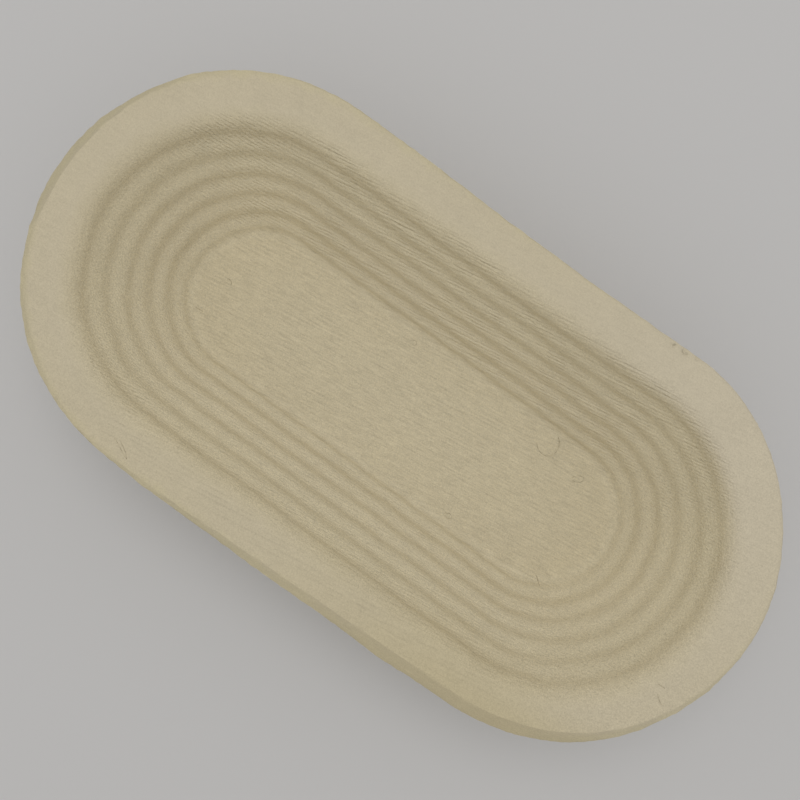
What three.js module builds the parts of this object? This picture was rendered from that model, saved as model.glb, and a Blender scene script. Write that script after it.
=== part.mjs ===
// A proofing basket for one long loaf, moulded in one piece from wood pulp.
// Its plan is a stadium: two straight sides joined by half circles. One wall profile runs all the
// way round it: a flat rim, a rounded shoulder, five ribs one under the other, and a flat floor.
// Millimetres, +Z up. The origin is on the table, under the middle of the floor, and +X runs along
// the loaf.
import * as THREE from "three";

// Overall sizes
const LENGTH = 336;
const WIDTH = 172;
const HEIGHT = 64;

// Thicknesses
const FLOOR_THICKNESS = 6;
const WALL_THICKNESS = 6; // square to the wall
const RIM_THICKNESS = 9;

// Rim and shoulder, from the outer edge inwards
const RIM_WIDTH = 21.5; // outer edge to the corner that the shoulder rounds off
const SHOULDER_RUN = 1.8; // plan distance from that corner to the highest crease
const SHOULDER_DROP = 8.4; // rim to the highest crease
const SHOULDER_ROUND = 8;
const RIM_TOP_ROUND = 2;
const RIM_LOW_ROUND = 1.5;
const UNDER_RIM_ROUND = 4;

// Ribs: each has one rounded nose between two creases
const RIB_COUNT = 5;
const RIB_RUN = 5.82; // plan distance from one crease to the next
const RIB_PROUD = 1.3; // the nose's corner, before rounding, from the line through the creases
const NOSE_SHARE = 0.47; // place of that corner between the lower crease and the upper one
const RIB_ROUND = 8;
const CREASE_ROUND = 5.5;
const FLOOR_ROUND = 5.5; // edge of the floor

// Outside of the wall, where the ribs show more softly as hollows
const HOLLOW_DEPTH = 1.2;
const HOLLOW_ROUND = 6;
const RIDGE_ROUND = 5;
const BASE_ROUND = 5;

// Facets
const END_STEPS = 20; // steps round each half circle
const FACET_TURN = 16; // degrees that one facet of a profile round may turn
const ROUND_LIMIT = 0.95; // share of a side that the rounds at its two ends may take

const PULP_COLOUR = 0xb5ab93;

const straightLength = LENGTH - WIDTH;
const rimRadius = WIDTH / 2;
const shoulderRadius = rimRadius - RIM_WIDTH;
const floorRadius = shoulderRadius - SHOULDER_RUN - RIB_COUNT * RIB_RUN;
const rimUnderside = HEIGHT - RIM_THICKNESS;
const ribRise = (HEIGHT - SHOULDER_DROP - FLOOR_THICKNESS) / RIB_COUNT;

// The profile is drawn in a plane where x is the distance from the centre line and y is the height.
// Crease 0 is the edge of the floor, and crease RIB_COUNT is under the shoulder.
function crease(index) {
  return new THREE.Vector2(floorRadius + index * RIB_RUN, FLOOR_THICKNESS + index * ribRise);
}

// Points away from the bread, square to the line through the creases.
const outward = new THREE.Vector2(ribRise, -RIB_RUN).normalize();

function throughWall(point) {
  return point.clone().addScaledVector(outward, WALL_THICKNESS);
}

// The corner of a rib's nose, this proud of the line between two creases.
function nose(low, high, proud) {
  return low.clone().lerp(high, NOSE_SHARE).addScaledVector(outward, -proud);
}

// Where the line through two points reaches a height.
function atHeight(low, high, height) {
  return low.clone().lerp(high, (height - low.y) / (high.y - low.y));
}

function corner(point, round) {
  return { point, round };
}

// The corners of the profile, from under the floor, up the outside, over the rim and down the ribs.
function profileCorners() {
  const corners = [];
  const base = atHeight(throughWall(crease(0)), throughWall(crease(1)), 0);
  corners.push(corner(base, BASE_ROUND));
  for (let index = 0; index < RIB_COUNT; index++) {
    const [low, high] = [throughWall(crease(index)), throughWall(crease(index + 1))];
    if (index > 0) corners.push(corner(low, RIDGE_ROUND));
    corners.push(corner(nose(low, high, HOLLOW_DEPTH), HOLLOW_ROUND));
  }
  const highestHollow = corners[corners.length - 1].point;
  const underRim = atHeight(highestHollow, throughWall(crease(RIB_COUNT)), rimUnderside);
  corners.push(corner(underRim, UNDER_RIM_ROUND));
  corners.push(corner(new THREE.Vector2(rimRadius, rimUnderside), RIM_LOW_ROUND));
  corners.push(corner(new THREE.Vector2(rimRadius, HEIGHT), RIM_TOP_ROUND));
  corners.push(corner(new THREE.Vector2(shoulderRadius, HEIGHT), SHOULDER_ROUND));
  for (let index = RIB_COUNT - 1; index >= 0; index--) {
    corners.push(corner(crease(index + 1), CREASE_ROUND));
    corners.push(corner(nose(crease(index), crease(index + 1), RIB_PROUD), RIB_ROUND));
  }
  corners.push(corner(crease(0), FLOOR_ROUND));
  return corners;
}

function turnAt(before, point, after) {
  const incoming = point.clone().sub(before);
  const outgoing = after.clone().sub(point);
  return Math.atan2(incoming.cross(outgoing), incoming.dot(outgoing));
}

// The arc that rounds a corner and touches both of its sides.
function cornerArc(before, point, turn, round) {
  const incoming = point.clone().sub(before).normalize();
  const toCentre = new THREE.Vector2(-incoming.y, incoming.x).multiplyScalar(Math.sign(turn));
  const setback = round * Math.tan(Math.abs(turn) / 2);
  const start = point.clone().addScaledVector(incoming, -setback);
  const centre = start.clone().addScaledVector(toCentre, round);
  const steps = Math.ceil(Math.abs(turn) / THREE.MathUtils.degToRad(FACET_TURN));
  const arc = [start];
  for (let step = 1; step <= steps; step++) {
    arc.push(start.clone().rotateAround(centre, (turn * step) / steps));
  }
  return arc;
}

// The profile as points. Where a side is too short for the rounds at both of its ends, they shrink.
function profilePoints() {
  const corners = profileCorners();
  const underFloor = new THREE.Vector2(0, 0);
  const onFloor = new THREE.Vector2(0, FLOOR_THICKNESS);
  const stops = [underFloor, ...corners.map(({ point }) => point), onFloor];
  const turns = corners.map(({ point }, index) => turnAt(stops[index], point, stops[index + 2]));
  const setbacks = corners.map(({ round }, index) => round * Math.tan(Math.abs(turns[index]) / 2));
  const shares = stops.slice(1).map((stop, index) => {
    const wanted = (setbacks[index - 1] ?? 0) + (setbacks[index] ?? 0);
    return Math.min(1, (ROUND_LIMIT * stop.distanceTo(stops[index])) / wanted);
  });
  return corners.flatMap(({ point, round }, index) => {
    const share = Math.min(shares[index], shares[index + 1]);
    return cornerArc(stops[index], point, turns[index], share * round);
  });
}

// One turn round the stadium at a distance from its centre line, anticlockwise from above.
function stadiumRing({ x: distance, y: height }) {
  const ring = [];
  for (const end of [1, -1]) {
    for (let step = 0; step <= END_STEPS; step++) {
      const angle = Math.PI * (step / END_STEPS - 0.5);
      const along = straightLength / 2 + distance * Math.cos(angle);
      const across = distance * Math.sin(angle);
      ring.push(new THREE.Vector3(end * along, end * across, height));
    }
  }
  return ring;
}

// Runs the profile round the stadium. The first ring is closed underneath and the last one on top.
function moulding(points) {
  const rings = points.map(stadiumRing);
  const count = rings[0].length;
  const faces = [];
  for (let level = 0; level < rings.length - 1; level++) {
    for (let step = 0; step < count; step++) {
      const here = level * count + step;
      const beside = level * count + ((step + 1) % count);
      faces.push(here, beside, beside + count);
      faces.push(here, beside + count, here + count);
    }
  }
  const outline = rings[0].map(({ x, y }) => new THREE.Vector2(x, y));
  const top = (rings.length - 1) * count;
  for (const [a, b, c] of THREE.ShapeUtils.triangulateShape(outline, [])) {
    faces.push(c, b, a);
    faces.push(top + a, top + b, top + c);
  }
  const geometry = new THREE.BufferGeometry().setFromPoints(rings.flat());
  geometry.setIndex(faces);
  geometry.computeVertexNormals();
  return geometry;
}

const pulp = new THREE.MeshStandardMaterial({ color: PULP_COLOUR, roughness: 0.95, metalness: 0 });
const basket = new THREE.Mesh(moulding(profilePoints()), pulp);
basket.name = "pulp_basket";

const part = new THREE.Group();
part.add(basket);

export default part;
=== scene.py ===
import math
from types import SimpleNamespace

import bpy
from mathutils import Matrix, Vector


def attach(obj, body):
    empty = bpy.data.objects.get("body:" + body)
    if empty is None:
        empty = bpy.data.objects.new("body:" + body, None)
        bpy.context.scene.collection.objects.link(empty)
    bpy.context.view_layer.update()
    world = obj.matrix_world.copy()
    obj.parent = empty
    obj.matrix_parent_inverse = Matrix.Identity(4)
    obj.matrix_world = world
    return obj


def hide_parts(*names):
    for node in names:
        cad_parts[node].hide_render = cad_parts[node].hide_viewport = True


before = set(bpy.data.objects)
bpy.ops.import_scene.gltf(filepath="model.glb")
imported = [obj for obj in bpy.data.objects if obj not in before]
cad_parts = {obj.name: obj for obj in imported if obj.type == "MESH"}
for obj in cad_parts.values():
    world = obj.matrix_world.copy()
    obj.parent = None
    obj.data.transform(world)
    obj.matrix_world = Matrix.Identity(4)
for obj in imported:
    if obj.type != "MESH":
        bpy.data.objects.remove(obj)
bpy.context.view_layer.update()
bpy.ops.object.select_all(action="DESELECT")

MM = 0.001

# Overall sizes of the basket, as in the solid
LENGTH = 336 * MM
WIDTH = 172 * MM
HEIGHT = 64 * MM
FLOOR_THICKNESS = 6 * MM
WALL_THICKNESS = 6 * MM
RIM_THICKNESS = 9 * MM

# Rim and shoulder
RIM_WIDTH = 21.5 * MM
SHOULDER_RUN = 1.8 * MM
SHOULDER_DROP = 8.4 * MM
SHOULDER_ROUND = 8 * MM
RIM_TOP_ROUND = 2 * MM
RIM_LOW_ROUND = 1.5 * MM
UNDER_RIM_ROUND = 4 * MM

# Ribs
RIB_COUNT = 5
RIB_RUN = 5.82 * MM
RIB_PROUD = 1.3 * MM
NOSE_SHARE = 0.47
RIB_ROUND = 8 * MM
CREASE_ROUND = 5.5 * MM
FLOOR_ROUND = 5.5 * MM

# Outside
HOLLOW_DEPTH = 1.2 * MM
HOLLOW_ROUND = 6 * MM
RIDGE_ROUND = 5 * MM
BASE_ROUND = 5 * MM

HALF_STRAIGHT = (LENGTH - WIDTH) / 2
RIM_RADIUS = WIDTH / 2
SHOULDER_RADIUS = RIM_RADIUS - RIM_WIDTH
FLOOR_RADIUS = SHOULDER_RADIUS - SHOULDER_RUN - RIB_COUNT * RIB_RUN
RIM_UNDERSIDE = HEIGHT - RIM_THICKNESS
RIB_RISE = (HEIGHT - SHOULDER_DROP - FLOOR_THICKNESS) / RIB_COUNT
OUTWARD = Vector((RIB_RISE, -RIB_RUN)).normalized()

# Mesh steps
ROUND_STEP = 0.9 * MM
ROUND_LIMIT = 0.95
INNER_STEP = 1.0 * MM
OUTER_STEP = 3 * MM
END_STEPS = 180
SIDE_STEPS = 110
MERGE_DISTANCE = 0.02 * MM
SAME_PLACE = 0.001 * MM
JUST_ABOVE = 1.01
SHARP_EDGE = math.radians(28)


# Profile of the wall: distance from the centre line, height

def crease(index):
    return Vector((FLOOR_RADIUS + index * RIB_RUN, FLOOR_THICKNESS + index * RIB_RISE))


def through_wall(point):
    return point + OUTWARD * WALL_THICKNESS


def nose(low, high, proud):
    """The corner of a rib between two creases, proud of the line through them."""
    return low.lerp(high, NOSE_SHARE) - OUTWARD * proud


def at_height(low, high, height):
    return low.lerp(high, (height - low.y) / (high.y - low.y))


def profile_corners():
    """Corners of the wall and their rounds, from under the floor over the rim to the floor's edge."""
    corners = [(at_height(through_wall(crease(0)), through_wall(crease(1)), 0), BASE_ROUND)]
    for index in range(RIB_COUNT):
        low, high = through_wall(crease(index)), through_wall(crease(index + 1))
        if index > 0:
            corners.append((low, RIDGE_ROUND))
        corners.append((nose(low, high, HOLLOW_DEPTH), HOLLOW_ROUND))
    highest_hollow = corners[-1][0]
    under_rim = at_height(highest_hollow, through_wall(crease(RIB_COUNT)), RIM_UNDERSIDE)
    corners.append((under_rim, UNDER_RIM_ROUND))
    corners.append((Vector((RIM_RADIUS, RIM_UNDERSIDE)), RIM_LOW_ROUND))
    corners.append((Vector((RIM_RADIUS, HEIGHT)), RIM_TOP_ROUND))
    corners.append((Vector((SHOULDER_RADIUS, HEIGHT)), SHOULDER_ROUND))
    for index in reversed(range(RIB_COUNT)):
        corners.append((crease(index + 1), CREASE_ROUND))
        corners.append((nose(crease(index), crease(index + 1), RIB_PROUD), RIB_ROUND))
    corners.append((crease(0), FLOOR_ROUND))
    return corners


def at_end(point):
    """A profile point in the plane where the straight side meets the end at +X."""
    return Vector((HALF_STRAIGHT, point.x, point.y))


def select_where(piece, kind, test):
    """Selects the vertices, edges or faces of a piece that pass a test, for work in edit mode."""
    bpy.ops.object.mode_set(mode="OBJECT")
    mesh = piece.data
    groups = {"VERT": mesh.vertices, "EDGE": mesh.edges, "FACE": mesh.polygons}
    for parts in groups.values():
        parts.foreach_set("select", [False] * len(parts))
    groups[kind].foreach_set("select", [test(part) for part in groups[kind]])
    bpy.context.tool_settings.mesh_select_mode = [kind == name for name in groups]
    bpy.ops.object.mode_set(mode="EDIT")


def corner_setbacks(corners, stops):
    """How far from each corner its round starts, shrunk where a side is too short for two rounds."""
    turns = [
        (point - before).angle(after - point)
        for before, (point, _), after in zip(stops, corners, stops[2:])
    ]
    setbacks = [size * math.tan(turn / 2) for (_, size), turn in zip(corners, turns)]
    shares = []
    for index in range(len(stops) - 1):
        wanted = sum(setbacks[max(index - 1, 0) : index + 1])
        side = (stops[index + 1] - stops[index]).length
        shares.append(min(1, ROUND_LIMIT * side / wanted))
    kept = [min(pair) for pair in zip(shares, shares[1:])]
    return [setback * share for setback, share in zip(setbacks, kept)], turns


def round_corner(piece, point, setback, turn):
    place = at_end(point)
    select_where(piece, "VERT", lambda vertex: (vertex.co - place).length < SAME_PLACE)
    arc = setback / math.tan(turn / 2) * turn
    bpy.ops.mesh.bevel(
        offset=setback, offset_type="OFFSET", affect="VERTICES",
        segments=max(2, round(arc / ROUND_STEP)), profile=0.5,
    )


def split_long_sides(piece, step, inside):
    """Cuts the flat sides of the profile into short steps, inside the basket or outside it."""
    mesh = piece.data

    def steps_along(edge):
        a, b = (mesh.vertices[index].co for index in edge.vertices)
        return round((a - b).length / step)

    def is_inside(edge):
        a, b = (mesh.vertices[index].co for index in edge.vertices)
        middle = Vector(((a.y + b.y) / 2, (a.z + b.z) / 2))
        wall = (middle - crease(0)).dot(OUTWARD) < WALL_THICKNESS / 2
        above_floor = middle.y > JUST_ABOVE * FLOOR_THICKNESS
        return (wall and above_floor) or middle.y > HEIGHT - RIM_THICKNESS / 2

    bpy.ops.object.mode_set(mode="OBJECT")
    counts = {steps_along(edge) for edge in mesh.edges if is_inside(edge) == inside}
    for count in sorted(counts, reverse=True):
        if count < 2:
            continue
        select_where(
            piece, "EDGE", lambda edge: is_inside(edge) == inside and steps_along(edge) == count
        )
        bpy.ops.mesh.subdivide(number_cuts=count - 1)
        bpy.ops.object.mode_set(mode="OBJECT")


def draw_profile():
    bpy.ops.mesh.primitive_plane_add(size=MM, location=(0, 0, 0))
    piece = bpy.context.object
    bpy.ops.object.mode_set(mode="EDIT")
    bpy.ops.mesh.select_all(action="SELECT")
    bpy.ops.mesh.merge(type="CENTER")
    corners = profile_corners()
    stops = [Vector((0, 0)), *(point for point, _ in corners), Vector((0, FLOOR_THICKNESS))]
    bpy.ops.transform.translate(value=at_end(stops[0]))
    for before, point in zip(stops, stops[1:]):
        step = at_end(point) - at_end(before)
        bpy.ops.mesh.extrude_vertices_move(TRANSFORM_OT_translate={"value": step})
    for (point, _), setback, turn in zip(corners, *corner_setbacks(corners, stops)):
        round_corner(piece, point, setback, turn)
    split_long_sides(piece, INNER_STEP, True)
    split_long_sides(piece, OUTER_STEP, False)
    return piece


def run_profile_round(piece):
    """Spins the profile round both ends and draws it along both sides."""
    bpy.ops.object.mode_set(mode="EDIT")
    bpy.ops.mesh.select_mode(type="VERT")
    bpy.ops.mesh.select_all(action="SELECT")
    for end in (1, -1):
        bpy.ops.mesh.spin(
            steps=END_STEPS, angle=math.pi, center=(end * HALF_STRAIGHT, 0, 0), axis=(0, 0, 1),
            use_auto_merge=False, dupli=False,
        )
        side_step = -end * 2 * HALF_STRAIGHT / SIDE_STEPS
        bpy.ops.mesh.extrude_repeat(steps=SIDE_STEPS, offset=(side_step, 0, 0))
    bpy.ops.mesh.select_all(action="SELECT")
    bpy.ops.mesh.remove_doubles(threshold=MERGE_DISTANCE)
    bpy.ops.mesh.normals_make_consistent(inside=False)
    bpy.ops.object.mode_set(mode="OBJECT")


# Wear of the soft pulp

def push(piece, place, move, reach):
    """Pushes the soft pulp out of true round one place."""
    nearest = min(piece.data.vertices, key=lambda vertex: (vertex.co - place).length_squared).index
    select_where(piece, "VERT", lambda vertex: vertex.index == nearest)
    bpy.ops.transform.translate(
        value=move, use_proportional_edit=True, proportional_edit_falloff="SMOOTH", proportional_size=reach,
    )
    bpy.ops.object.mode_set(mode="OBJECT")


def trim_edge(piece, turn, depth, slope):
    """Flattens the rim's outer edge on one side, as if pared with a knife."""
    outward = Vector((math.cos(turn), math.sin(turn), 0))
    furthest = HALF_STRAIGHT * abs(outward.x) + RIM_RADIUS
    place = outward * (furthest - depth) + Vector((0, 0, HEIGHT))
    normal = outward * math.sin(slope) + Vector((0, 0, math.cos(slope)))
    select_where(piece, "VERT", lambda vertex: (vertex.co - place).dot(normal) > 0)
    bpy.ops.transform.resize(
        value=(1, 1, 0), orient_type="GLOBAL", orient_matrix=normal.to_track_quat("Z", "Y").to_matrix(),
        orient_matrix_type="GLOBAL", constraint_axis=(False, False, True), center_override=place,
    )
    bpy.ops.object.mode_set(mode="OBJECT")


def weigh(piece, name, weight):
    """Keeps a weight from 0 to 1 for each place of a piece, which a modifier of the same name follows."""
    group = piece.vertex_groups.new(name=name)
    levels = {}
    for vertex in piece.data.vertices:
        share = round(weight(vertex.co), 2)
        if share > 0:
            levels.setdefault(share, []).append(vertex.index)
    for share, places in levels.items():
        group.add(places, share, "REPLACE")


def soften(piece, name, rounds, weight):
    """Smooths the surface where the pulp filled the mould less crisply."""
    weigh(piece, name, weight)
    modifier = piece.modifiers.new(name, "SMOOTH")
    modifier.factor = 1
    modifier.iterations = rounds
    modifier.vertex_group = name
    bpy.ops.object.modifier_apply(modifier=name)


def roughen(piece, name, size, height, weight):
    """Raises and lowers the surface in lumps of a size, as strongly as a weight for each place says."""
    weigh(piece, name, weight)
    lumps = bpy.data.textures.new(name, "CLOUDS")
    lumps.noise_scale = size
    lumps.noise_depth = 2
    modifier = piece.modifiers.new(name, "DISPLACE")
    modifier.texture = lumps
    modifier.texture_coords = "LOCAL"
    modifier.mid_level = 0.5
    modifier.strength = height
    modifier.vertex_group = name
    bpy.ops.object.modifier_apply(modifier=name)


# Where the wall's wear fades out towards the floor and the rim, and what is left of it there
WALL_FADE = 6 * MM
FOOT_SHARE = 0.3
TOP_SHARE = 0.2
FLOOR_SLACK = 0.1 * MM

# The round ends, and the part of one where the ribs are crisp
ENDS_FROM = 80 * MM
ENDS_FADE = 30 * MM
CRISP_ABOVE = -10 * MM
CRISP_SHARE = 0.6

# The soft edge of the floor
SOFT_FLOOR_TOP = 16 * MM
SOFT_FLOOR_FADE = 6 * MM
SOFT_FLOOR_FROM = 26 * MM
SOFT_FLOOR_RISE = 4 * MM
SOFT_FLOOR_END = 46 * MM
SOFT_FLOOR_SLACK = 0.5 * MM

# The outer edge of the rim
EDGE_BAND = 5 * MM
EDGE_FADE = 4 * MM
EDGE_SLACK = 1 * MM


def stadium_radius(place):
    return math.hypot(max(abs(place.x) - HALF_STRAIGHT, 0), place.y)


def clamp(value):
    return max(0, min(1, value))


def wall_weight(place):
    """1 on the inside of the wall, less on the floor and at the rim, and 0 elsewhere."""
    inside = (Vector((stadium_radius(place), place.z)) - crease(0)).dot(OUTWARD) < WALL_THICKNESS / 2
    if not inside or place.z < FLOOR_THICKNESS - FLOOR_SLACK:
        return 0
    low = FOOT_SHARE + (place.z - FLOOR_THICKNESS) / WALL_FADE
    high = TOP_SHARE + (HEIGHT - place.z) / WALL_FADE
    return clamp(min(low, high))


def round_end(place):
    """0 on the straight sides, rising to 1 on the round ends."""
    return clamp((abs(place.x) - ENDS_FROM) / ENDS_FADE)


def soft_rib_weight(place):
    """1 on the ribs of the round ends, less on the part of one where they are crisp."""
    crisp = place.x < 0 and place.y > CRISP_ABOVE
    return wall_weight(place) * round_end(place) * (CRISP_SHARE if crisp else 1)


def soft_floor_weight(place):
    """1 round the edge of the floor at the round ends."""
    radius = stadium_radius(place)
    if place.z <= FLOOR_THICKNESS - SOFT_FLOOR_SLACK or radius >= SOFT_FLOOR_END:
        return 0
    low = clamp((SOFT_FLOOR_TOP - place.z) / SOFT_FLOOR_FADE)
    near = clamp((radius - SOFT_FLOOR_FROM) / SOFT_FLOOR_RISE)
    return low * near * round_end(place)


def edge_weight(place):
    """1 on the outer edge of the rim."""
    if place.z < RIM_UNDERSIDE - EDGE_SLACK:
        return 0
    return clamp((stadium_radius(place) - RIM_RADIUS + EDGE_BAND) / EDGE_FADE)


# Where the soft rim was pushed out of true: place, move and reach in millimetres
RIM_PUSHES = (
    ((0, -86, 0), (0, -2.1, 0), 40),
    ((-50, -86, 0), (0, -1.6, 0), 40),
    ((45, -86, 0), (0, -2.1, 0), 40),
    ((-30, -86, 0), (0, -0.6, 0), 25),
    ((22, -86, 0), (0, -0.4, 0), 20),
    ((55, -86, 0), (0, -0.5, 0), 20),
    ((85, -86, 0), (0, -0.7, 0), 30),
    ((120, -77, 0), (0.4, -0.7, 0), 30),
    ((137, -66, 0), (0.5, -0.5, 0), 25),
    ((145, -59, 0), (0.8, -0.7, 0), 32),
    ((128, -72, 0), (0.4, -0.5, 0), 45),
    ((0, 86, 0), (0, -1.1, 0), 60),
    ((30, 86, 0), (0, -0.5, 0), 30),
    ((60, 86, 0), (0, -0.9, 0), 50),
    ((-167, 0, 0), (-1.0, 0, 0), 60),
    ((-168, 0, 0), (-1.9, 0, 0), 36),
    ((-166, 18, 0), (-0.8, 0.2, 0), 18),
    ((-166, -18, 0), (-1.1, -0.2, 0), 18),
    ((-142, -60, 0), (-1.1, -0.9, 0), 50),
    ((-156, 43, 0), (-1.1, 0.6, 0), 40),
    ((-161, 33, 0), (-0.6, 0.3, 0), 22),
    ((-132, 70, 0), (-0.6, 0.5, 0), 50),
    ((168, -10, 0), (-0.5, 0, 0), 40),
    ((150, 52, 0), (-0.5, -0.4, 0), 50),
)

# Where its outer edge was pared: from one direction to another in degrees, the depths there in
# millimetres, and the slope of the cut in degrees
PARED_EDGES = (
    (-88, -72, 6.2, 6.4, 46),
    (-65, -37, 5.7, 4.0, 46),
    (-30, -2, 3.9, 2.0, 40),
    (-90, -90, 1.4, 1.4, 40),
    (-94, -134, 1.6, 2.2, 34),
    (-142, -182, 2.4, 3.2, 29),
    (-190, -262, 3.2, 1.0, 29),
    (-172, -188, 3.3, 3.3, 41),
    (-196, -212, 2.9, 2.0, 41),
)
PARING_STEP_DEGREES = 8

# Where it was chipped: place and reach of the painted shade, in millimetres
CHIPS = ((73.2, 83.5, 1.5), (77.4, 83.9, 1.4), (78.6, 83.6, 1.5), (84, 84.4, 1.1))
CHIP_DEPTH = 1.3 * MM
CHIP_REACH = 2.6 * MM

# Where the pulp filled the mould softly: how often it is smoothed, and the weight of each place
SOFT_PLACES = (
    ("soft_ribs", 11, soft_rib_weight),
    ("soft_floor_edge", 12, soft_floor_weight),
)

# Lumps in the surface: their size and height, and the weight of each place
LUMPY_PLACES = (
    ("wall_lumps", 16 * MM, 0.9 * MM, wall_weight),
    ("wall_grit", 5 * MM, 0.35 * MM, wall_weight),
    ("edge_lumps", 3 * MM, 0.7 * MM, edge_weight),
)


def pare_edges(piece):
    for first, last, first_depth, last_depth, slope in PARED_EDGES:
        cuts = abs(last - first) // PARING_STEP_DEGREES
        for cut in range(cuts + 1):
            share = cut / max(cuts, 1)
            turn = math.radians(first + share * (last - first))
            depth = first_depth + share * (last_depth - first_depth)
            trim_edge(piece, turn, depth * MM, math.radians(slope))


def make_basket():
    piece = draw_profile()
    run_profile_round(piece)
    piece.name = "moulded_pulp"
    piece.data.name = "moulded_pulp"
    for place, move, reach in RIM_PUSHES:
        push(piece, Vector(place) * MM + Vector((0, 0, HEIGHT)), Vector(move) * MM, reach * MM)
    pare_edges(piece)
    for x, y, _ in CHIPS:
        push(piece, Vector((x * MM, y * MM, HEIGHT)), Vector((0, 0, -CHIP_DEPTH)), CHIP_REACH)
    for name, rounds, weight in SOFT_PLACES:
        soften(piece, name, rounds, weight)
    for name, size, height, weight in LUMPY_PLACES:
        roughen(piece, name, size, height, weight)
    bpy.ops.object.shade_smooth_by_angle(angle=SHARP_EDGE)
    return piece


# Stray fibres pressed into the surface: five points each along it, in millimetres
STRAY_FIBRES = (
    ((45.2, -28.8), (48, -26), (51, -28), (49.2, -31), (45.6, -29.4)),
    ((-15.1, 27.5), (-13.4, 29.2), (-11.2, 28.6), (-11.4, 26.4), (-13.3, 26)),
    ((83.5, 19.5), (85, 24), (91.5, 25.5), (89.5, 18.5), (84, 18.8)),
    ((94.2, 11.6), (95.2, 11.5), (95.6, 10.7), (95.5, 10), (96.2, 9.6)),
    ((96.6, -27), (97.6, -27.4), (98.4, -28), (98.8, -29), (100, -29.6)),
    ((60.7, 23.2), (64.5, 18.5), (72.5, 18.5), (72.5, 28.5), (67, 31.4)),
    ((-101.7, 0.3), (-100.5, 0.5), (-99.3, 0.3), (-98.8, -0.6), (-98.6, -1.5)),
    ((-106, -19.4), (-105, -19.6), (-104, -19.3), (-103, -19), (-102, -19.2)),
    ((-85.2, -77.7), (-82.5, -78.7), (-79.9, -80.2), (-77.9, -81.2), (-76.4, -81.6)),
    ((-76.4, -81.6), (-77, -80.4), (-79, -79.4), (-81, -78), (-83, -77.2)),
    ((146.8, -29.2), (147.6, -29.1), (148.3, -29.2), (149, -29), (149.7, -29.1)),
    ((148.9, -32.6), (149.6, -33.6), (150.6, -34.3), (151.6, -34.6), (152.7, -35.2)),
)
FIBRE_THICKNESS = 0.25 * MM
FIBRE_STEPS = 6


def surface_height(basket, x, y):
    found, place, _, _ = basket.ray_cast((x, y, 2 * HEIGHT), (0, 0, -1))
    return place.z if found else HEIGHT


def make_fibre(basket, points):
    bpy.ops.object.select_all(action="DESELECT")
    bpy.ops.curve.primitive_nurbs_path_add(location=(0, 0, 0))
    fibre = bpy.context.object
    for point, (x, y) in zip(fibre.data.splines[0].points, points):
        point.co = (x * MM, y * MM, surface_height(basket, x * MM, y * MM), 1)
    fibre.data.resolution_u = FIBRE_STEPS
    fibre.data.bevel_depth = FIBRE_THICKNESS / 2
    fibre.data.bevel_resolution = 1
    fibre.data.use_fill_caps = True
    bpy.ops.object.convert(target="MESH")
    return fibre


def make_stray_fibres(basket):
    fibres = [make_fibre(basket, points) for points in STRAY_FIBRES]
    bpy.ops.object.select_all(action="DESELECT")
    for fibre in fibres:
        fibre.select_set(True)
    bpy.context.view_layer.objects.active = fibres[0]
    bpy.ops.object.join()
    piece = fibres[0]
    piece.name = "stray_fibres"
    piece.data.name = "stray_fibres"
    bpy.ops.object.shade_smooth()
    return piece


# Materials

def add_node(tree, kind, **settings):
    node = tree.nodes.new(kind)
    for name, value in settings.items():
        setattr(node, name, value)
    return node


def set_input(tree, socket, value):
    """Links a socket to another one, or sets its value."""
    if isinstance(value, bpy.types.NodeSocket):
        tree.links.new(value, socket)
    else:
        socket.default_value = value


def maths(tree, operation, *values):
    node = add_node(tree, "ShaderNodeMath", operation=operation)
    for socket, value in zip(node.inputs, values):
        set_input(tree, socket, value)
    return node.outputs[0]


def times(tree, first, *others):
    for value in others:
        first = maths(tree, "MULTIPLY", first, value)
    return first


def plus(tree, total, value, share):
    """A total plus a share of a value."""
    return maths(tree, "MULTIPLY_ADD", value, share, total)


def away_from(tree, value):
    """1 where a value is 0, and 0 where it is 1."""
    return maths(tree, "SUBTRACT", 1.0, value)


def fade(tree, value, low, high):
    """0 below one value and 1 above the other, with a soft step between."""
    node = add_node(tree, "ShaderNodeMapRange", interpolation_type="SMOOTHSTEP")
    set_input(tree, node.inputs["Value"], value)
    node.inputs["From Min"].default_value = low
    node.inputs["From Max"].default_value = high
    return node.outputs[0]


def noise(tree, vector, scale, detail):
    node = add_node(tree, "ShaderNodeTexNoise")
    set_input(tree, node.inputs["Vector"], vector)
    node.inputs["Scale"].default_value = scale
    node.inputs["Detail"].default_value = detail
    return node.outputs["Fac"]


def unevenness(tree, vector, scale, detail):
    """Noise above and below 0."""
    return maths(tree, "SUBTRACT", noise(tree, vector, scale, detail), 0.5)


def stretched(tree, vector, turn, length):
    """Coordinates that make a pattern so many times longer in one direction."""
    node = add_node(tree, "ShaderNodeMapping", vector_type="TEXTURE")
    set_input(tree, node.inputs["Vector"], vector)
    node.inputs["Rotation"].default_value = (0, 0, turn)
    node.inputs["Scale"].default_value = (length, 1, 1)
    return node.outputs["Vector"]


def around(tree, place, centre, near, far):
    """1 within one distance of a place, falling to 0 at another distance."""
    node = add_node(tree, "ShaderNodeVectorMath", operation="DISTANCE")
    set_input(tree, node.inputs[0], place)
    node.inputs[1].default_value = centre
    return away_from(tree, fade(tree, node.outputs["Value"], near, far))


# Colour sockets of a mix node, which come after those for numbers and vectors
MIX_LOW = 6
MIX_HIGH = 7
MIX_RESULT = 2


def mixed(tree, share, low, high):
    node = add_node(tree, "ShaderNodeMix", data_type="RGBA")
    set_input(tree, node.inputs[0], share)
    set_input(tree, node.inputs[MIX_LOW], low)
    set_input(tree, node.inputs[MIX_HIGH], high)
    return node.outputs[MIX_RESULT]


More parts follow.
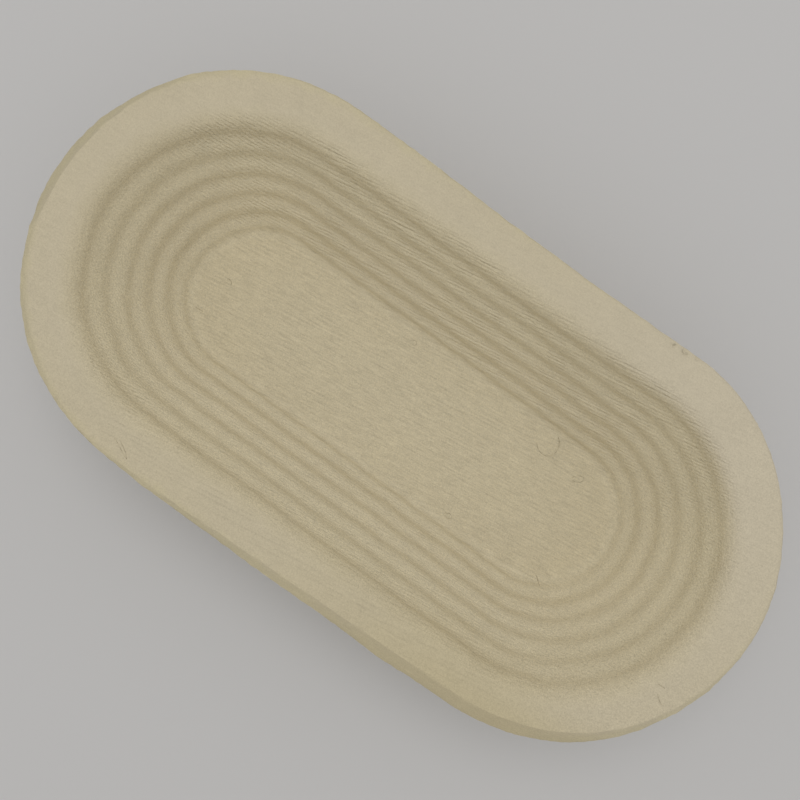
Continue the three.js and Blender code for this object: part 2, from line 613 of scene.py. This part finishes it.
def ramp(tree, value, stops):
    """A colour that changes along a value from 0 to 1."""
    node = add_node(tree, "ShaderNodeValToRGB")
    set_input(tree, node.inputs[0], value)
    elements = node.color_ramp.elements
    while len(elements) < len(stops):
        elements.new(0.5)
    for element, (position, colour) in zip(elements, stops):
        element.position = position
        element.color = (*colour, 1)
    return node.outputs[0]


# Zones of the pulp, each from where its edge starts to fade to where it has faded:
# by distance from the middle line
FLOOR_EDGE = (33 * MM, 39 * MM)
SHOULDER_FOOT = (56 * MM, 62 * MM)
RIM_INSIDE = (62 * MM, 68 * MM)
WALL_TOP = (64 * MM, 72 * MM)
NEAR_RIM_INSIDE = (65 * MM, 71 * MM)
SHOULDER_TOP = (66 * MM, 71 * MM)
NEAR_RIM_OUTSIDE = (74 * MM, 83 * MM)
CUT_BAND = (80 * MM, 83 * MM)
EDGE_ZONE = (80 * MM, 85 * MM)

# along the basket
MIDDLE_PART = (85 * MM, 110 * MM)
RIGHT_END = (90 * MM, 140 * MM)
LEFT_END = (125 * MM, 160 * MM)
FAR_LEFT = (128 * MM, 142 * MM)

# across it
NEAR_EDGE = (-80 * MM, -50 * MM)
NEAR_SIDE = (-50 * MM, 10 * MM)
FAR_SIDE = (-20 * MM, 35 * MM)

# by how far the surface faces up, which sets where the steep edge gets painted light and the cut band painted
# shade
STEEP_EDGE = (0.2, 0.65)
STEEP_CUT = (0.8, 0.93)

# Places, each with the distances over which it fades: yellower pulp, darkened as painted shade, along the
# near side; a painted pool of light on one corner of the rim; painted light on a shaded part of the wall at
# the left end; and where lines run over the shoulder
TOASTED_AND_SHADED = ((105 * MM, -83 * MM, HEIGHT), 10 * MM, 130 * MM)
PAINTED_LIGHT_CORNER = ((125 * MM, 75 * MM, HEIGHT), 10 * MM, 130 * MM)
PAINTED_LIGHT_WALL = ((-110 * MM, 35 * MM, 20 * MM), 8 * MM, 42 * MM)
COMBED_SHOULDER = ((-97 * MM, -64 * MM, HEIGHT), 8 * MM, 28 * MM)

# Lines that the felt pressed into the pulp
PRESSED_LINE_TURN = math.radians(9)
WIDE_LINE_PITCH = 2.05 * MM
FINE_LINE_PITCH = 1.2 * MM
WAVE_PITCH = 0.314
WAVE_STRETCH = 4
WAVE_DISTORTION = 3
DASH_STRETCH = 5
DASH_SCALE = 0.9
DASH_SOFTNESS = 0.15
LINE_DETAIL = 2

# How narrow the lines are, and how much of their length is broken off
NARROW_LINES = (3, 0.5)
BROAD_LINES = (1, 0.45)

# How strong the lines are in each zone
FLOOR_LINES = 0.48
NEAR_RIM_LINES = 0.6
WALL_LINES = 0.25
FAR_WALL_LINES = 0.8
NOSE_LINES = 0.8
CREASE_FADE = -0.2
SHOULDER_LINES = 0.15
COMBED_SHOULDER_LINES = 0.6
WIDE_LINES = 0.5
FINE_LINES = 0.9
FINE_LINES_FADE = -0.1
FAR_LEFT_FADE = -0.65
RIGHT_END_FADE = -0.25
PATCHES = (45, 1)
PATCH_EDGES = (0.35, 0.6)
PATCH_LOW = 0.5
PATCH_RISE = 0.6

# Scale and detail of the fibres and the unevenness of the pulp
FIBRE_STRETCH = 9
FIBRE_NOISE = (1150, 3)
GRAIN_NOISE = (1900, 2)
MOTTLE_NOISE = (26, 3)
PATCHY_NOISE = (140, 2)
TORN_NOISE = (800, 2)
TORN_EDGES = (0.42, 0.6)
TORN_CENTRE = 0.8
TORN_NEAR = 0.2 * MM
SPECK_SCALE = 170
SPECK_SIZE = (0.03, 0.09)
SPECK_RARITY = 0.72

# How much each mark lightens the pulp, or darkens it where below 0, some of them painted light and painted
# shade
PLAIN_TONE = 1.01
# Painted shade in the pressed grooves
PAINTED_LINE_SHADE = -0.11
# Painted highlight along the combed lines
PAINTED_COMBED_HIGHLIGHT = 0.02
MOTTLE_TONE = 0.08
PATCHY_TONE = 0.07
# Painted light on a shaded part of the wall at the left end
PAINTED_LIGHT_WALL_TONE = 0.06
# Painted light on the steep outer edge of the rim
PAINTED_EDGE_LIGHT = 0.03
# Painted shade on the steep cut band at the left end
PAINTED_CUT_SHADE = -0.09
SPECK_TONE = -0.12
# Painted shade in the chips
PAINTED_CHIP_SHADE = -0.24
FIBRE_TONES = {"all": 0.12, "inner": 0.14, "floor": 0.17}
GRAIN_TONES = {"all": 0.32, "near_side": 0.10, "inner": 0.27, "wall": 0.12, "floor": -0.05, "right_rim": 0.14}

# How far each mark stands up, as a share of the depth of the relief
RELIEF_DEPTH = 0.14 * MM
LINE_HEIGHT = -1.3
COMBED_HEIGHT = -1.9
FIBRE_HEIGHT = 1.2
WALL_FIBRE_HEIGHT = 0.8
GRAIN_HEIGHT = 1.0
TORN_HEIGHT = -1.5

# Colour of the pulp by distance from the middle line, in millimetres: the floor and the wall, most of all at
# the floor's edge, are painted lighter than the rim, as painted light against the shade inside the basket
PULP_COLOURS_AND_PAINTED_LIGHT = (
    (30, (0.594, 0.524, 0.368)),
    (35, (0.641, 0.572, 0.411)),
    (44, (0.630, 0.558, 0.396)),
    (57, (0.609, 0.537, 0.374)),
    (65, (0.576, 0.502, 0.343)),
    (73, (0.563, 0.493, 0.352)),
    (82, (0.563, 0.493, 0.350)),
    (86, (0.560, 0.492, 0.325)),
)
COLOUR_SPAN = 100
COLOUR_WANDER = 6 * MM
# Yellower pulp along the near side, darkened further there as painted shade
TOASTED_AND_SHADED_COLOUR = (0.525, 0.450, 0.283, 1)
TOASTED_AND_SHADED_LOW = 0.15
TOASTED_AND_SHADED_RISE = 0.75
TOASTED_AND_SHADED_MOTTLE = 0.3
# A paler colour on one corner of the rim, as a painted pool of light
PAINTED_LIGHT_COLOUR = (0.583, 0.515, 0.382, 1)

PULP_ROUGHNESS = 0.93
GRAIN_ROUGHNESS = 0.15
PULP_SPECULAR = 0.2


def pressed_lines(tree, place, pitch, narrow, broken):
    """Fine grooves in one direction, broken into dashes: 1 in a groove and 0 beside it."""
    wave = add_node(tree, "ShaderNodeTexWave", wave_type="BANDS", bands_direction="Y", wave_profile="SIN")
    set_input(tree, wave.inputs["Vector"], stretched(tree, place, PRESSED_LINE_TURN, WAVE_STRETCH))
    wave.inputs["Scale"].default_value = WAVE_PITCH / pitch
    wave.inputs["Distortion"].default_value = WAVE_DISTORTION
    wave.inputs["Detail"].default_value = LINE_DETAIL
    wave.inputs["Detail Scale"].default_value = 1
    groove = maths(tree, "POWER", away_from(tree, wave.outputs["Fac"]), narrow)
    along_lines = stretched(tree, place, PRESSED_LINE_TURN, DASH_STRETCH)
    patches = noise(tree, along_lines, DASH_SCALE / pitch, LINE_DETAIL)
    dashes = fade(tree, patches, broken - DASH_SOFTNESS, broken + DASH_SOFTNESS)
    return times(tree, groove, dashes)


def find_zones(tree, place, normal):
    """The zones of the basket, each 1 inside it and 0 outside."""
    axes = add_node(tree, "ShaderNodeSeparateXYZ")
    tree.links.new(place, axes.inputs[0])
    facing = add_node(tree, "ShaderNodeSeparateXYZ")
    tree.links.new(normal, facing.inputs[0])
    x, y, _ = axes.outputs
    up = facing.outputs[2]

    # Distance from the middle line of the stadium
    along = maths(tree, "ABSOLUTE", x)
    past_side = maths(tree, "MAXIMUM", maths(tree, "SUBTRACT", along, HALF_STRAIGHT), 0.0)
    squares = maths(tree, "ADD", maths(tree, "POWER", past_side, 2.0), maths(tree, "POWER", y, 2.0))
    radius = maths(tree, "SQRT", squares)

    leftward = maths(tree, "MULTIPLY", x, -1.0)
    inner = away_from(tree, fade(tree, radius, *WALL_TOP))
    floor = away_from(tree, fade(tree, radius, *FLOOR_EDGE))
    shoulder_top = away_from(tree, fade(tree, radius, *SHOULDER_TOP))
    near_side = away_from(tree, fade(tree, y, *NEAR_SIDE))
    middle = away_from(tree, fade(tree, along, *MIDDLE_PART))
    rim_band = maths(
        tree, "SUBTRACT", fade(tree, radius, *NEAR_RIM_INSIDE), fade(tree, radius, *NEAR_RIM_OUTSIDE)
    )
    right_end = fade(tree, x, *RIGHT_END)
    steep_edge = away_from(tree, fade(tree, up, *STEEP_EDGE))
    steep_cut = away_from(tree, fade(tree, up, *STEEP_CUT))
    cut = times(tree, fade(tree, radius, *CUT_BAND), steep_cut)
    return SimpleNamespace(
        radius=radius,
        inner=inner,
        floor=floor,
        wall=maths(tree, "SUBTRACT", inner, floor),
        shoulder=times(tree, fade(tree, radius, *SHOULDER_FOOT), shoulder_top),
        rim=fade(tree, radius, *RIM_INSIDE),
        middle=middle,
        near_side=near_side,
        far_side=fade(tree, y, *FAR_SIDE),
        near_edge=away_from(tree, fade(tree, y, *NEAR_EDGE)),
        near_rim=times(tree, near_side, rim_band, middle),
        right_end=right_end,
        right_rim=times(tree, right_end, away_from(tree, inner)),
        far_left=fade(tree, leftward, *FAR_LEFT),
        edge=times(tree, fade(tree, radius, *EDGE_ZONE), steep_edge),
        left_cut_shade=times(tree, cut, fade(tree, leftward, *LEFT_END)),
    )


def combed_lines(tree, place, zone):
    """Lines on the wall and the shoulder, weaker in the creases and towards the ends."""
    past_floor = maths(tree, "SUBTRACT", zone.radius, FLOOR_RADIUS)
    ribs = maths(tree, "COSINE", times(tree, past_floor, 2 * math.pi / RIB_RUN))
    on_nose = plus(tree, NOSE_LINES, times(tree, ribs, zone.middle), CREASE_FADE)
    on_wall = times(tree, zone.wall, plus(tree, WALL_LINES, zone.far_side, FAR_WALL_LINES), on_nose)
    steep = plus(tree, on_wall, zone.shoulder, SHOULDER_LINES)
    corner = times(tree, zone.shoulder, around(tree, place, *COMBED_SHOULDER))
    steep = plus(tree, steep, corner, COMBED_SHOULDER_LINES)
    uneven = fade(tree, noise(tree, place, *PATCHES), *PATCH_EDGES)
    steep = times(tree, steep, plus(tree, PATCH_LOW, uneven, PATCH_RISE))

    wide = pressed_lines(tree, place, WIDE_LINE_PITCH, *BROAD_LINES)
    wide = times(tree, wide, times(tree, zone.middle, WIDE_LINES))
    fine = pressed_lines(tree, place, FINE_LINE_PITCH, *BROAD_LINES)
    fine = times(tree, fine, plus(tree, FINE_LINES, zone.middle, FINE_LINES_FADE))
    combed = times(tree, maths(tree, "ADD", wide, fine), steep)
    combed = times(tree, combed, plus(tree, 1.0, zone.far_left, FAR_LEFT_FADE))
    return times(tree, combed, plus(tree, 1.0, zone.right_end, RIGHT_END_FADE))


def dark_specks(tree, place):
    specks = add_node(tree, "ShaderNodeTexVoronoi")
    set_input(tree, specks.inputs["Vector"], place)
    specks.inputs["Scale"].default_value = SPECK_SCALE
    speck_colour = add_node(tree, "ShaderNodeSeparateColor")
    tree.links.new(specks.outputs["Color"], speck_colour.inputs[0])
    near = away_from(tree, fade(tree, specks.outputs["Distance"], *SPECK_SIZE))
    chosen = maths(tree, "GREATER_THAN", speck_colour.outputs[0], SPECK_RARITY)
    return times(tree, near, chosen)


# The chips: rough in the relief, and darkened as painted shade in the dents
def chips_with_painted_shade(tree, place):
    chips_and_shade = 0.0
    for x, y, dark in CHIPS:
        centre = (x * MM, y * MM, HEIGHT - TORN_CENTRE * CHIP_DEPTH)
        chips_and_shade = maths(tree, "MAXIMUM", chips_and_shade, around(tree, place, centre, TORN_NEAR, dark * MM))
    return times(tree, chips_and_shade, fade(tree, noise(tree, place, *TORN_NOISE), *TORN_EDGES))


def find_marks(tree, place, zone):
    """The marks in the pulp: pressed lines, fibres, grain, specks, and the chips with their painted shade."""
    lines = pressed_lines(tree, place, WIDE_LINE_PITCH, *NARROW_LINES)
    flat_share = plus(tree, times(tree, zone.near_rim, NEAR_RIM_LINES), zone.floor, FLOOR_LINES)
    along_lines = stretched(tree, place, PRESSED_LINE_TURN, FIBRE_STRETCH)
    return SimpleNamespace(
        lines=times(tree, lines, flat_share),
        combed=combed_lines(tree, place, zone),
        fibres=unevenness(tree, along_lines, *FIBRE_NOISE),
        grain=unevenness(tree, place, *GRAIN_NOISE),
        mottle=unevenness(tree, place, *MOTTLE_NOISE),
        patchy=unevenness(tree, place, *PATCHY_NOISE),
        specks=dark_specks(tree, place),
        chips_and_shade=chips_with_painted_shade(tree, place),
    )


def share_by_zone(tree, zone, shares):
    """A share for all of the basket, plus one for each zone."""
    total = shares["all"]
    for name, share in shares.items():
        if name != "all":
            total = plus(tree, total, getattr(zone, name), share)
    return total


def pulp_tone(tree, place, zone, mark):
    """How light the pulp is, as a share of its plain colour, with painted light and painted shade among its
    marks.
    """
    # Painted shade in the pressed grooves
    tone = plus(tree, PLAIN_TONE, mark.lines, PAINTED_LINE_SHADE)
    # Painted highlight along the combed lines
    tone = plus(tree, tone, mark.combed, PAINTED_COMBED_HIGHLIGHT)
    tone = plus(tree, tone, mark.fibres, share_by_zone(tree, zone, FIBRE_TONES))
    tone = plus(tree, tone, mark.grain, share_by_zone(tree, zone, GRAIN_TONES))
    tone = plus(tree, tone, mark.mottle, MOTTLE_TONE)
    tone = plus(tree, tone, mark.patchy, PATCHY_TONE)
    # Painted light on a shaded part of the wall at the left end
    tone = plus(tree, tone, around(tree, place, *PAINTED_LIGHT_WALL), PAINTED_LIGHT_WALL_TONE)
    # Painted light on the steep outer edge of the rim
    tone = plus(tree, tone, zone.edge, PAINTED_EDGE_LIGHT)
    # Painted shade on the steep cut band at the left end
    tone = plus(tree, tone, zone.left_cut_shade, PAINTED_CUT_SHADE)
    tone = plus(tree, tone, mark.specks, SPECK_TONE)
    # Painted shade in the chips
    return plus(tree, tone, mark.chips_and_shade, PAINTED_CHIP_SHADE)


def pulp_colour(tree, place, zone, mark):
    """Colour by place: painted light on the floor and the wall, yellower pulp with painted shade along one
    side, and a painted pool of light at one corner.
    """
    wavy_radius = plus(tree, zone.radius, mark.patchy, COLOUR_WANDER)
    stops = [(distance / COLOUR_SPAN, colour) for distance, colour in PULP_COLOURS_AND_PAINTED_LIGHT]
    colour = ramp(tree, maths(tree, "DIVIDE", wavy_radius, COLOUR_SPAN * MM), stops)
    # Yellower pulp with painted shade along the near side
    toasted_and_shaded = plus(tree, TOASTED_AND_SHADED_LOW, around(tree, place, *TOASTED_AND_SHADED), TOASTED_AND_SHADED_RISE)
    toasted_and_shaded = plus(tree, times(tree, zone.near_edge, toasted_and_shaded), mark.mottle, TOASTED_AND_SHADED_MOTTLE)
    colour = mixed(tree, toasted_and_shaded, colour, TOASTED_AND_SHADED_COLOUR)
    # A painted pool of light on the rim at one corner
    painted_light_corner = times(tree, around(tree, place, *PAINTED_LIGHT_CORNER), zone.rim)
    return mixed(tree, painted_light_corner, colour, PAINTED_LIGHT_COLOUR)


def pulp_relief(tree, zone, mark):
    height = plus(tree, times(tree, mark.lines, LINE_HEIGHT), mark.combed, COMBED_HEIGHT)
    height = plus(tree, height, mark.fibres, plus(tree, FIBRE_HEIGHT, zone.wall, WALL_FIBRE_HEIGHT))
    height = plus(tree, height, mark.grain, GRAIN_HEIGHT)
    height = plus(tree, height, mark.chips_and_shade, TORN_HEIGHT)
    bump = add_node(tree, "ShaderNodeBump")
    bump.inputs["Strength"].default_value = 1
    bump.inputs["Distance"].default_value = RELIEF_DEPTH
    tree.links.new(height, bump.inputs["Height"])
    return bump.outputs[0]


def pulp_material():
    material = bpy.data.materials.new("pale_wood_pulp")
    material.use_nodes = True
    tree = material.node_tree
    shader = tree.nodes["Principled BSDF"]
    coordinates = add_node(tree, "ShaderNodeTexCoord")
    place = coordinates.outputs["Object"]
    zone = find_zones(tree, place, coordinates.outputs["Normal"])
    mark = find_marks(tree, place, zone)

    toned = add_node(tree, "ShaderNodeVectorMath", operation="SCALE")
    tree.links.new(pulp_colour(tree, place, zone, mark), toned.inputs[0])
    tree.links.new(pulp_tone(tree, place, zone, mark), toned.inputs["Scale"])
    tree.links.new(toned.outputs[0], shader.inputs["Base Color"])
    tree.links.new(pulp_relief(tree, zone, mark), shader.inputs["Normal"])
    tree.links.new(plus(tree, PULP_ROUGHNESS, mark.grain, GRAIN_ROUGHNESS), shader.inputs["Roughness"])
    shader.inputs["Specular IOR Level"].default_value = PULP_SPECULAR
    return material


FIBRE_DARK = (0.35, 0.30, 0.20, 1)
FIBRE_PALE = (0.56, 0.49, 0.345, 1)
FIBRE_COLOUR_NOISE = (700, 2)
FIBRE_COLOUR_EDGES = (0.35, 0.65)
FIBRE_ROUGHNESS = 0.85


def fibre_material():
    material = bpy.data.materials.new("dark_fibre")
    material.use_nodes = True
    tree = material.node_tree
    shader = tree.nodes["Principled BSDF"]
    place = add_node(tree, "ShaderNodeTexCoord").outputs["Object"]
    pale = fade(tree, noise(tree, place, *FIBRE_COLOUR_NOISE), *FIBRE_COLOUR_EDGES)
    tree.links.new(mixed(tree, pale, FIBRE_DARK, FIBRE_PALE), shader.inputs["Base Color"])
    shader.inputs["Roughness"].default_value = FIBRE_ROUGHNESS
    shader.inputs["Specular IOR Level"].default_value = PULP_SPECULAR
    return material


TABLE_COLOUR = (0.572, 0.562, 0.552, 1)
TABLE_ROUGHNESS = 0.9


def table_material():
    material = bpy.data.materials.new("pale_grey_table")
    material.use_nodes = True
    shader = material.node_tree.nodes["Principled BSDF"]
    shader.inputs["Base Color"].default_value = TABLE_COLOUR
    shader.inputs["Roughness"].default_value = TABLE_ROUGHNESS
    return material


basket = make_basket()
basket.data.materials.append(pulp_material())
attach(basket, "root")
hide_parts("pulp_basket")

fibres = make_stray_fibres(basket)
fibres.data.materials.append(fibre_material())
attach(fibres, "root")

# Studio
TABLE_SIZE = 6
bpy.ops.object.select_all(action="DESELECT")
bpy.ops.mesh.primitive_plane_add(size=TABLE_SIZE, location=(0, 0, 0))
table = bpy.context.object
table.name = "table"
table.data.materials.append(table_material())

PICTURE_TURN = math.radians(36.09)
PICTURE_UP = Vector((-math.sin(PICTURE_TURN), math.cos(PICTURE_TURN), 0))

ROOM_LIGHT = 0.6
world = bpy.data.worlds.new("studio")
world.use_nodes = True
background = world.node_tree.nodes["Background"]
background.inputs["Color"].default_value = (1, 1, 1, 1)
background.inputs["Strength"].default_value = ROOM_LIGHT
bpy.context.scene.world = world

SOFTBOX_SIZE = 1.6
SOFTBOX_POWER = 9.2
SOFTBOX_HEIGHT = 1.8
SOFTBOX_OFFSET = 0.42


def add_softbox(name, place, target):
    lamp = bpy.data.lights.new(name, "AREA")
    lamp.shape = "DISK"
    lamp.size = SOFTBOX_SIZE
    lamp.energy = SOFTBOX_POWER
    softbox = bpy.data.objects.new(name, lamp)
    softbox.location = place
    softbox.rotation_euler = (target - place).to_track_quat("-Z", "Y").to_euler()
    bpy.context.scene.collection.objects.link(softbox)


softbox_place = PICTURE_UP * SOFTBOX_OFFSET + Vector((0, 0, SOFTBOX_HEIGHT))
add_softbox("overhead_softbox", softbox_place, Vector((0, 0, 0)))

CAMERA_ABOVE_RIM = 327 * MM
CAMERA_LENS = 37
CAMERA_SENSOR = 36
CAMERA_TILT = (math.radians(0.453), math.radians(0.184), PICTURE_TURN)
camera = bpy.data.cameras.new("camera")
camera.lens = CAMERA_LENS
camera.sensor_width = CAMERA_SENSOR
camera_object = bpy.data.objects.new("camera", camera)
camera_object.location = (0, 0, HEIGHT + CAMERA_ABOVE_RIM)
camera_object.rotation_euler = CAMERA_TILT
bpy.context.scene.collection.objects.link(camera_object)
bpy.context.scene.camera = camera_object

bpy.context.scene.view_settings.view_transform = "Standard"
